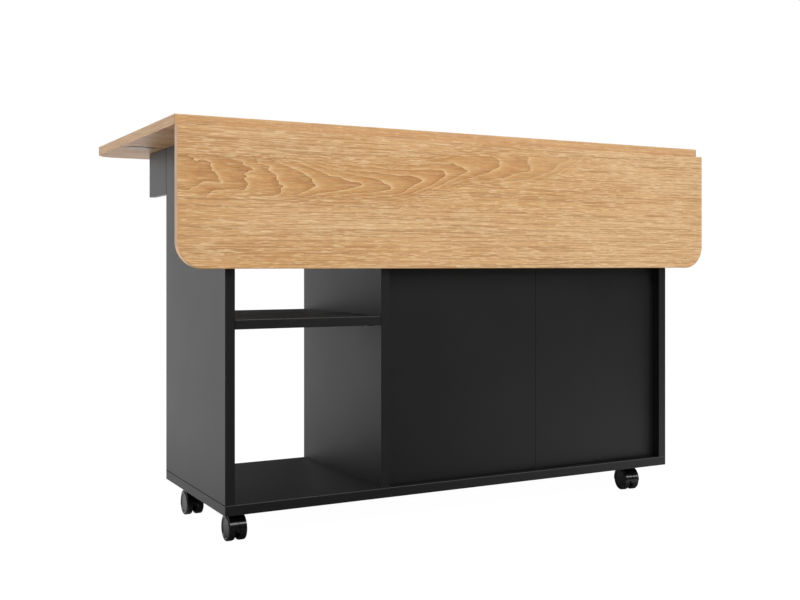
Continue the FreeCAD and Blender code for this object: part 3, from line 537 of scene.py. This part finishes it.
def moulded(name, colour, roughness, grain_depth, ior=1.5):
    """Moulded plastic, or a powder coat where the grain is deep."""
    material, recipe = new_recipe(name)
    place = recipe.point()
    grain = recipe.even_noise(place, GRAINS)
    flow = recipe.even_noise(place, FLOW_MARKS, 3.0)
    recipe.finish(
        {
            "Base Color": recipe.blend(flow * 0.5, colour, shade(colour, 1.5)),
            "IOR": ior,
            "Roughness": roughness + flow * 0.08,
            "Normal": recipe.relief(grain, grain_depth),
        }
    )
    return material


HANDLE_COAT = moulded("powder_coat", paint(24, 24, 25), 0.42, 0.00012)
HOOD_PLASTIC = moulded("caster_hood_nylon", paint(14, 14, 15), 0.14, 0.00001, 1.58)
WHEEL_PLASTIC = moulded("caster_wheel_nylon", paint(18, 18, 19), 0.24, 0.00002, 1.65)
print(f"{len(bpy.data.materials)} materials in the file")

# %% [markdown]
# ## Dressing the CAD nodes
#
# A node keeps its own mesh and only receives a material. The black boards and the handles also get
# a Weld and a Bevel modifier, because no real edge is perfectly sharp, and a narrow rounding
# catches the light. The edges could be rounded in the CAD model instead, but a modifier rounds all
# of them alike and leaves the mesh as it came.

# %% A finish for each kind of node
FINISH_BY_ENDING = {
    "back_panel": BACK_BOARD,
    "caster_plates": PLATE_STEEL,
    "hinge_plates": HINGE_STEEL,
    "upright_plates": HINGE_STEEL,
    "frame_plates": HINGE_STEEL,
    "screws": SCREW_STEEL,
    "pins": PIN_STEEL,
    "axle": PIN_STEEL,
    "handle": HANDLE_COAT,
    "housing": HOOD_PLASTIC,
    "wheel": WHEEL_PLASTIC,
    "shelf": LEVEL_BOARD,
    "base_board": LEVEL_BOARD,
    "rail": LEVEL_BOARD,
    "fascia": LEVEL_BOARD,
}


def finish_for(name):
    if name in OAKS:
        return OAKS[name]
    for ending, finish in FINISH_BY_ENDING.items():
        if name.endswith(ending):
            return finish
    return UPRIGHT_BOARD


# %% Dress the nodes
MERGE_DISTANCE = 0.00002
BOARD_ROUNDING, HANDLE_ROUNDING = 0.0011, 0.0012


def soften_edges(piece, width, segments):
    """Rounds a piece's edges by a hair, on top of its untouched CAD mesh."""
    weld = piece.modifiers.new("merge_points", "WELD")
    weld.merge_threshold = MERGE_DISTANCE
    bevel = piece.modifiers.new("soft_edges", "BEVEL")
    bevel.width = width
    bevel.segments = segments
    bevel.limit_method = "ANGLE"
    bevel.angle_limit = math.radians(50)
    bevel.harden_normals = True


for name, piece in cad.items():
    finish = finish_for(name)
    piece.data.materials.clear()
    piece.data.materials.append(finish)
    if finish in (UPRIGHT_BOARD, LEVEL_BOARD, BACK_BOARD):
        soften_edges(piece, BOARD_ROUNDING, segments=2)
    elif finish is HANDLE_COAT:
        soften_edges(piece, HANDLE_ROUNDING, segments=3)
print(f"{sum(1 for piece in cad.values() if piece.modifiers)} nodes have rounded edges")

# %% [markdown]
# ## Screws
#
# Every screw of the cart has a head with a drive in it, which a CAD model leaves out. A real head
# is pressed from wire, so its rim is rounded and the drive is a clean recess. A dark cross could be
# painted on it, but a true recess catches the light from every side. So one screw of each kind is
# modelled on its own, pointing up: a cylinder is given its rounded rim with a bevel in edit mode,
# its shank is drawn out of it, and the drive is cut with a boolean. Then it is copied to its
# places, and the copies that move together are joined.


# %% Tools for small pieces
def clear_selection():
    bpy.ops.object.select_all(action="DESELECT")


def cylinder(radius, low, high, sides=32):
    """A new upright cylinder between two heights, as the active object."""
    clear_selection()
    bpy.ops.mesh.primitive_cylinder_add(
        vertices=sides, radius=radius, depth=high - low, location=(0, 0, (low + high) / 2)
    )
    piece = bpy.context.active_object
    bpy.ops.object.transform_apply(location=True, rotation=True, scale=True)
    return piece


# %% Picking faces and edges
def choose(piece, kind, wanted):
    """Goes into edit mode with only the faces or edges selected that a test picks out."""
    bpy.context.view_layer.objects.active = piece
    bpy.ops.object.mode_set(mode="EDIT")
    bpy.ops.mesh.select_mode(type=kind)
    bpy.ops.mesh.select_all(action="DESELECT")
    bpy.ops.object.mode_set(mode="OBJECT")
    if kind == "FACE":
        for face in piece.data.polygons:
            face.select = wanted(face.center, face.normal)
    else:
        points = piece.data.vertices
        for edge in piece.data.edges:
            edge.select = wanted(*[points[i].co for i in edge.vertices])
    bpy.ops.object.mode_set(mode="EDIT")


def done_editing():
    bpy.ops.object.mode_set(mode="OBJECT")


def faces_down(middle, normal):
    return normal.z < -0.9


# %% Cutting a recess
def cut_out(piece, tools):
    """Takes shapes out of another for good, one after the other."""
    for tool in tools:
        boolean = piece.modifiers.new("recess", "BOOLEAN")
        boolean.object = tool
        boolean.solver = "EXACT"
        clear_selection()
        bpy.context.view_layer.objects.active = piece
        piece.select_set(True)
        bpy.ops.object.modifier_apply(modifier=boolean.name)
        bpy.data.objects.remove(tool)


# %% Copying to the places
def copies(model, name, places, finish, body):
    """Copies a model to each (point, up direction), joins the copies and lets them ride."""
    made = []
    for point, up in places:
        copied = bpy.data.objects.new(name, model.data.copy())
        turn = Vector(up).to_track_quat("Z", "Y").to_matrix().to_4x4()
        copied.data.transform(Matrix.Translation(point) @ turn)
        bpy.context.scene.collection.objects.link(copied)
        made.append(copied)
    clear_selection()
    for copied in made:
        copied.select_set(True)
    bpy.context.view_layer.objects.active = made[0]
    bpy.ops.object.join()
    joined = bpy.context.active_object
    joined.name = name
    joined.data.materials.clear()
    joined.data.materials.append(finish)
    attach(joined, body)
    return joined


# %% The tip of a driver
TIP_TAPER = 0.35


def cross_cutter(reach, width, top, depth):
    """Two crossed bars that taper downwards, as the tip of a driver."""
    bars = []
    for angle in (0, math.radians(90)):
        clear_selection()
        bpy.ops.mesh.primitive_cube_add(size=1, location=(0, 0, top), rotation=(0, 0, angle))
        bar = bpy.context.active_object
        bar.scale = (2 * reach, width, 2 * depth)
        bpy.ops.object.transform_apply(location=True, rotation=True, scale=True)
        choose(bar, "FACE", faces_down)
        bpy.ops.transform.resize(value=(TIP_TAPER, TIP_TAPER, 1))
        done_editing()
        bars.append(bar)
    return bars


# %% A screw from head to point
POINT_TAPER = 0.4
RIM_SEGMENTS = 3
A_HAIR = 0.00001


def screw_model(name, head, height, shank, length, rim, drive):
    """A screw whose head starts at 0 and points up, its shank going down. head and shank are
    radii, rim is the rounding of the head and drive is a list of shapes to cut out of it."""
    screw = cylinder(head, 0, height)
    on_top = height - A_HAIR
    choose(screw, "EDGE", lambda start, end: start.z > on_top and end.z > on_top)
    bpy.ops.mesh.bevel(offset=rim, segments=RIM_SEGMENTS, affect="EDGES")
    done_editing()
    choose(screw, "FACE", faces_down)
    bpy.ops.mesh.inset(thickness=head - shank)
    bpy.ops.mesh.extrude_region_move(TRANSFORM_OT_translate={"value": (0, 0, -length)})
    bpy.ops.transform.resize(value=(POINT_TAPER, POINT_TAPER, 1))
    done_editing()
    cut_out(screw, drive)
    clear_selection()
    screw.select_set(True)
    bpy.ops.object.shade_smooth_by_angle(angle=math.radians(35))
    screw.name = name
    print(f"{name}: {len(screw.data.polygons)} faces")
    return screw


# %% The four kinds of screw
pan_screw = screw_model(
    "pan_screw",
    head=0.0036,
    height=0.0016,
    shank=0.00175,
    length=0.0124,
    rim=0.0009,
    drive=cross_cutter(reach=0.0019, width=0.0007, top=0.0016, depth=0.0009),
)
rail_screw = screw_model(
    "rail_screw",
    head=0.0040,
    height=0.0025,
    shank=0.0020,
    length=0.0315,
    rim=0.0013,
    drive=cross_cutter(reach=0.0022, width=0.0008, top=0.0025, depth=0.0013),
)
board_screw = screw_model(
    "board_screw",
    head=0.0050,
    height=0.0029,
    shank=0.0025,
    length=0.0440,
    rim=0.0004,
    drive=[cylinder(0.0023, 0.0012, 0.0040, sides=6)],
)
flush_screw = screw_model(
    "flush_screw",
    head=0.00175,
    height=0.0009,
    shank=0.0011,
    length=0.0080,
    rim=0.0001,
    drive=cross_cutter(reach=0.0011, width=0.0004, top=0.0009, depth=0.0005),
)

# %% [markdown]
# ## Where the screws go
#
# Four pan-head screws hold each caster plate, eight socket screws run up through the base into
# the uprights, and eight more pull the top down from the rails. These stand for the plain screws
# of the CAD model. The hinge plates have two countersunk screws each, flush with the plate. The
# places could be typed in, but most are worked out from the boards that the screws hold, so that
# they stay right when a board changes.

# %% Where the boards are
DOWN = (0, 0, -1)


def centre_of(name):
    """The middle of a CAD node's box."""
    low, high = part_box(name)
    return (low + high) / 2


near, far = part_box("left_end_panel")[0].y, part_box("left_end_panel")[1].y
base_low, base_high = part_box("base_board")
closed_low, closed_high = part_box("near_top_rail")
open_low, open_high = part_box("open_bay_top_rail")
cabinet_width, cabinet_depth = base_high.x - base_low.x, far - near
print(f"cabinet {cabinet_width * 1000:.0f} mm wide and {cabinet_depth * 1000:.0f} mm deep")

# %% Places under the caster plates
near_row, far_row = near + 0.065, far - 0.105
CASTERS = (
    (base_low.x + 0.036, near_row),
    (base_low.x + 0.028, far_row),
    (base_high.x - 0.093, near_row),
    (base_high.x - 0.093, far_row),
)
PLATE_THICKNESS, HOLE_X, HOLE_Y = 0.0025, 0.0145, 0.0125
caster_places = [
    ((x + i * HOLE_X, y + j * HOLE_Y, base_low.z - PLATE_THICKNESS), DOWN)
    for x, y in CASTERS
    for i in (-1, 1)
    for j in (-1, 1)
]

# %% Places under the uprights and the rails
UPRIGHTS, COUNTERBORE = ("left_end_panel", "partition", "centre_divider", "right_end_panel"), 0.0029
board_places = [
    ((centre_of(name).x, y, base_low.z + COUNTERBORE), DOWN)
    for name in UPRIGHTS
    for y in (near + 0.120, far - 0.050)
]
RAIL_INSET = 0.060
divider = centre_of("centre_divider").x
closed_x = (closed_low.x + RAIL_INSET, divider + RAIL_INSET, closed_high.x - RAIL_INSET)
closed_rows = (centre_of("near_top_rail").y, centre_of("far_top_rail").y)
rail_places = [((x, y, closed_low.z), DOWN) for x in closed_x for y in closed_rows]
open_x, open_row = (open_low.x + RAIL_INSET, open_high.x - RAIL_INSET), (near + far) / 2
rail_places += [((x, open_row, open_low.z), DOWN) for x in open_x]

# %% Screws of the cabinet
for model, name, places in (
    (pan_screw, "caster_screws", caster_places),
    (board_screw, "panel_screws", board_places),
    (rail_screw, "top_screws", rail_places),
):
    screws = copies(model, name + "_driven", places, SCREW_STEEL, "cabinet")
    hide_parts(name)
    print(f"{name}: {len(places)} screws")

# %% Screws of the leaf hinges
LEAF_HINGES_X, LEAF_HOLES = (0.672, 0.180), (-0.0215, 0.0215)
PIN_TO_SCREW = 0.00855
BOARD_TO_HEAD = 0.0007  # to the foot of the head
top_low, top_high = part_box("main_top")
near_pin, far_pin = leaf_high.y, (top_high.y + far_low.y) / 2
level = top_low.z - BOARD_TO_HEAD
hinge_screws = {"cabinet": [], "near_leaf": [], "far_leaf": []}
for x in [side * x + hole for side in (-1, 1) for x in LEAF_HINGES_X for hole in LEAF_HOLES]:
    hinge_screws["cabinet"].append(((x, near_pin + PIN_TO_SCREW, level), DOWN))
    hinge_screws["cabinet"].append(((x, far_pin - PIN_TO_SCREW, level), DOWN))
    hinge_screws["far_leaf"].append(((x, far_pin + PIN_TO_SCREW, level), DOWN))
    hanging = (x, near_pin + BOARD_TO_HEAD, top_low.z - PIN_TO_SCREW)
    hinge_screws["near_leaf"].append((hanging, (0, 1, 0)))
print(f"{sum(len(places) for places in hinge_screws.values())} screws in the leaf hinges")

# %% Where the arm and door hinges are
HALF_PLATE, HALF_GAP, PIN_PROUD = 0.025, 0.0012, 0.003


def plate_levels(name):
    """The heights of the lower and the upper plate in a node of hinge plates."""
    low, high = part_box(name)
    return low.z + HALF_PLATE, high.z - HALF_PLATE


# a pin stands in the middle of the gap beside the fixed board, and proud of the arm or door
panel_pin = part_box("right_end_panel")[0].x - HALF_GAP
partition_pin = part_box("partition")[1].x + HALF_GAP
near_arm_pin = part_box("near_left_support_arm")[0].y - PIN_PROUD
far_arm_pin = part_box("far_right_support_arm")[0].x - PIN_PROUD
door_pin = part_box("left_door")[1].y + PIN_PROUD
arm_levels = plate_levels("far_left_arm_hinge_plates")
door_levels = plate_levels("left_door_hinge_plates")
# each hinge: its body, its pin, the way its plates reach and the way to the fixed board from
# there, and its heights
SIDE_HINGES = [
    ("near_left_arm", (-panel_pin, near_arm_pin), (0, 1), (-1, 0), arm_levels),
    ("near_right_arm", (panel_pin, near_arm_pin), (0, 1), (1, 0), arm_levels),
    ("far_left_arm", (-far_arm_pin, far + HALF_GAP), (-1, 0), (0, -1), arm_levels),
    ("far_right_arm", (far_arm_pin, far + HALF_GAP), (1, 0), (0, -1), arm_levels),
    ("left_door", (partition_pin, door_pin), (0, -1), (-1, 0), door_levels),
    ("right_door", (panel_pin, door_pin), (0, -1), (1, 0), door_levels),
]
print(f"arm hinges at {[round(z, 4) for z in arm_levels]}")
print(f"door hinges at {[round(z, 4) for z in door_levels]}")

# %% Screws of the arm and door hinges
SIDE_HOLES, SIDE_PIN_TO_SCREW = (-0.0165, 0.0165), 0.00955
PIN_TO_HEAD = 0.0011  # to the foot of the head


def side_screw(pin, reach, to_board, way, height):
    """A screw's place and up direction, in the fixed plate or, with way -1, in the other one."""
    x, y = [pin[i] + reach[i] * SIDE_PIN_TO_SCREW + way * to_board[i] * PIN_TO_HEAD for i in (X, Y)]
    return (x, y, height), (-way * to_board[X], -way * to_board[Y], 0)


for body, pin, reach, to_board, levels in SIDE_HINGES:
    heights = [level + hole for level in levels for hole in SIDE_HOLES]
    hinge_screws["cabinet"] += [side_screw(pin, reach, to_board, 1, height) for height in heights]
    hinge_screws[body] = [side_screw(pin, reach, to_board, -1, height) for height in heights]
for body, places in hinge_screws.items():
    name = "hinge_screws_in_cabinet" if body == "cabinet" else f"{body}_hinge_screws"
    copies(flush_screw, name, places, SCREW_STEEL, body)
for model in (pan_screw, rail_screw, board_screw, flush_screw):
    bpy.data.objects.remove(model)
print(f"{sum(len(places) for places in hinge_screws.values())} hinge screws in all")

# %% [markdown]
# ## The studio
#
# The cart stands on a white floor under soft light, and the camera stands where the photograph
# was taken from: level, a little above the middle of the cabinet, looking along one end of it.
# The view is shifted instead of tilted, so that upright edges stay upright.
#
# Black boards show little but what they mirror. A plain white floor would turn them grey all over,
# so the floor looks different to them than to the camera: white behind the cart, a little dimmer
# close to it and beyond it on the right, dark in front of it, with a painted shadow under it, and
# pale again towards the right, which is what the back panels mirror.

# %% The floor
clear_selection()
bpy.ops.mesh.primitive_plane_add(size=60, location=(0, 0, 0))
floor = bpy.context.active_object
floor.name = "floor"
floor_material, recipe = new_recipe("floor_white")
floor.data.materials.append(floor_material)
east, north, _ = recipe.parts(recipe.point())


# %% What mirrors see of the floor
# how bright mirrors see the floor in front of the cart, behind it, and in the painted shadow under
# it
IN_FRONT, BEHIND, UNDER_CART_SHADOW = 0.1, 1.04, 0.08
CLOSE_DIMMER, BEYOND_DIMMER = 0.5, 0.16
# the soft limits of each zone, along X and along Y
CLOSE = (-1.05, -0.62), (1.7, 0.9)
BEYOND = (-1.0, 0.2), (0.9, 1.7)
RIGHT = (-0.25, 1.3), (-2.4, -0.7)
BEHIND_LIMITS = (-0.42, -0.08)
# painted shadow: mirrors see the floor under the cart darkened, as if the cart shaded it; its
# middle and its soft edges
SHADOW_MIDDLE, SHADOW_EDGE_X, SHADOW_EDGE_Y = -0.144, (0.585, 0.635), (0.18, 0.32)


def zone(limits):
    """A part of the floor, 1 inside and 0 outside."""
    east_limits, north_limits = limits
    return recipe.between(east, *east_limits) * recipe.between(north, *north_limits)


dimmer = BEHIND - zone(CLOSE) * CLOSE_DIMMER - zone(BEYOND) * BEYOND_DIMMER
behind = recipe.between(north, *BEHIND_LIMITS) * dimmer
lit = IN_FRONT + behind + zone(RIGHT)
# the painted shadow under the cart, which only mirrors see
beside_shadow = recipe.between(abs(east), *SHADOW_EDGE_X)
clear = beside_shadow.math("MAXIMUM", beside_shadow, recipe.between(abs(north - SHADOW_MIDDLE), *SHADOW_EDGE_Y))
mirrored_floor = lit * (UNDER_CART_SHADOW + clear * (1.0 - UNDER_CART_SHADOW))

# %% The floor's surface
SEEN_LEVEL, SEEN_SHARE, MATT_GREY = 1.12, 0.88, (0.66, 0.66, 0.66, 1)
WHITE = (1, 1, 1, 1)
seen = recipe.node("ShaderNodeLightPath", output="Is Camera Ray")
mirrored = recipe.node("ShaderNodeLightPath", output="Is Glossy Ray")
matt = recipe.node("ShaderNodeBsdfDiffuse", inputs={"Color": MATT_GREY})
level = mirrored * mirrored_floor + seen * SEEN_LEVEL
white = recipe.node("ShaderNodeEmission", inputs={"Color": WHITE, "Strength": level})
share = seen.math("MAXIMUM", seen * SEEN_SHARE, mirrored)
floor_surface = recipe.node("ShaderNodeMixShader", inputs={0: share, 1: matt, 2: white})
recipe.node("ShaderNodeOutputMaterial", inputs={"Surface": floor_surface})
print(f"the floor's material has {len(floor_material.node_tree.nodes)} nodes")

# %% The sky
ROOM, WALL, DAYLIGHT = 0.04, 1.65, 0.62
WALL_NORTH, WALL_LEFT, WALL_RIGHT = (-0.1, 0.6), (-0.50, -0.22), (0.3, -0.1)
world = bpy.data.worlds.new("studio")
bpy.context.scene.world = world
world.use_nodes = True
sky = Recipe(world.node_tree)
seen = sky.node("ShaderNodeLightPath", output="Is Camera Ray")
mirrored = sky.node("ShaderNodeLightPath", output="Is Glossy Ray")
toward = sky.parts(sky.node("ShaderNodeTexCoord", output="Generated"))
# mirrors see a bright wall behind the cart, and a dim room round it
wall = sky.between(toward[Y], *WALL_NORTH) * sky.between(toward[X], *WALL_LEFT)
wall = wall * sky.between(toward[X], *WALL_RIGHT)
level = mirrored * (ROOM + wall * WALL) + (1.0 - mirrored) * DAYLIGHT
level = seen + (1.0 - seen) * level
background = sky.node("ShaderNodeBackground", inputs={"Color": WHITE, "Strength": level})
sky.node("ShaderNodeOutputWorld", inputs={"Surface": background})
print(f"the sky has {len(world.node_tree.nodes)} nodes")


# %% The lamps
def softbox(name, at, aim, width, height, watts):
    lamp = bpy.data.lights.new(name, "AREA")
    lamp.shape = "RECTANGLE"
    lamp.size = width
    lamp.size_y = height
    lamp.energy = watts
    holder = bpy.data.objects.new(name, lamp)
    bpy.context.scene.collection.objects.link(holder)
    holder.location = at
    holder.rotation_euler = (Vector(aim) - Vector(at)).to_track_quat("-Z", "Y").to_euler()


softbox("front_box", (0.6, -4.0, 4.2), (0, -0.2, 0.6), width=2.6, height=2.6, watts=109)
softbox("right_box", (2.4, -4.1, 2.0), (0.3, -0.2, 0.4), width=0.45, height=0.6, watts=12)
softbox("left_box", (-3.6, 0.8, 1.6), (-0.4, 0, 0.5), width=1.8, height=1.8, watts=45)
softbox("top_box", (0.3, 0.3, 3.4), (0, 0, 0.8), width=2.5, height=2.5, watts=22)
print(f"{len(bpy.data.lights)} lamps")

# %% The camera
LOOKING = (0.4741, 0.8805)
camera_data = bpy.data.cameras.new("camera")
camera = bpy.data.objects.new("camera", camera_data)
bpy.context.scene.collection.objects.link(camera)
camera.location = (-1.343, -2.5046, 0.6006)
camera.rotation_euler = (math.radians(90), 0, -math.atan2(*LOOKING))
camera_data.lens = 47.14
camera_data.sensor_width = 36
camera_data.shift_y = -0.0446
camera_data.clip_end = 200
bpy.context.scene.camera = camera
bpy.context.scene.view_settings.view_transform = "Standard"
print(f"camera {camera.location.z:.2f} m above the floor, lens {camera_data.lens:.2f} mm")
